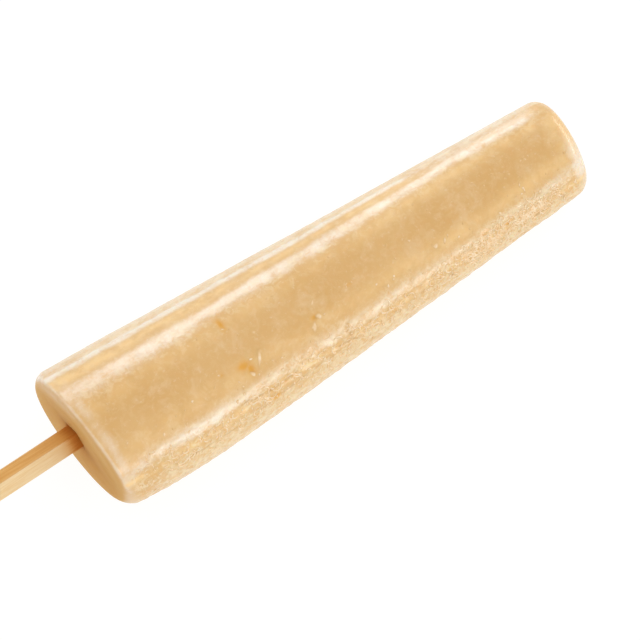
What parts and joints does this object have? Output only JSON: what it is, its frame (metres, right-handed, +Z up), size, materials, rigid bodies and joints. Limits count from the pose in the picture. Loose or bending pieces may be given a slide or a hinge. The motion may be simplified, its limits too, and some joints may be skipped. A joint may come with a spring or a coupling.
{
  "type": "kulfi on a stick",
  "caption": "Tapered round bar of frozen milk dessert lying on its side, with a square bamboo stick standing out of its wide end.",
  "frame": {"origin": "on the surface the bar rests on, below the middle of the box around bar and stick", "axes": "+X along the bar from its stick end to its tip, +Z up out of the surface it lies on, +Y to the bar's left seen from the stick end"},
  "size_m": [0.1981, 0.0332, 0.0337],
  "materials": {
    "frozen_milk": "frozen reduced milk, caramel cream, moist sheen with fine frost crystals",
    "bamboo": "bare planed bamboo, fine lengthwise fibres"
  },
  "bodies": {
    "root": {"kulfi": "frozen_milk", "stick": "bamboo"}
  },
  "joints": []
}
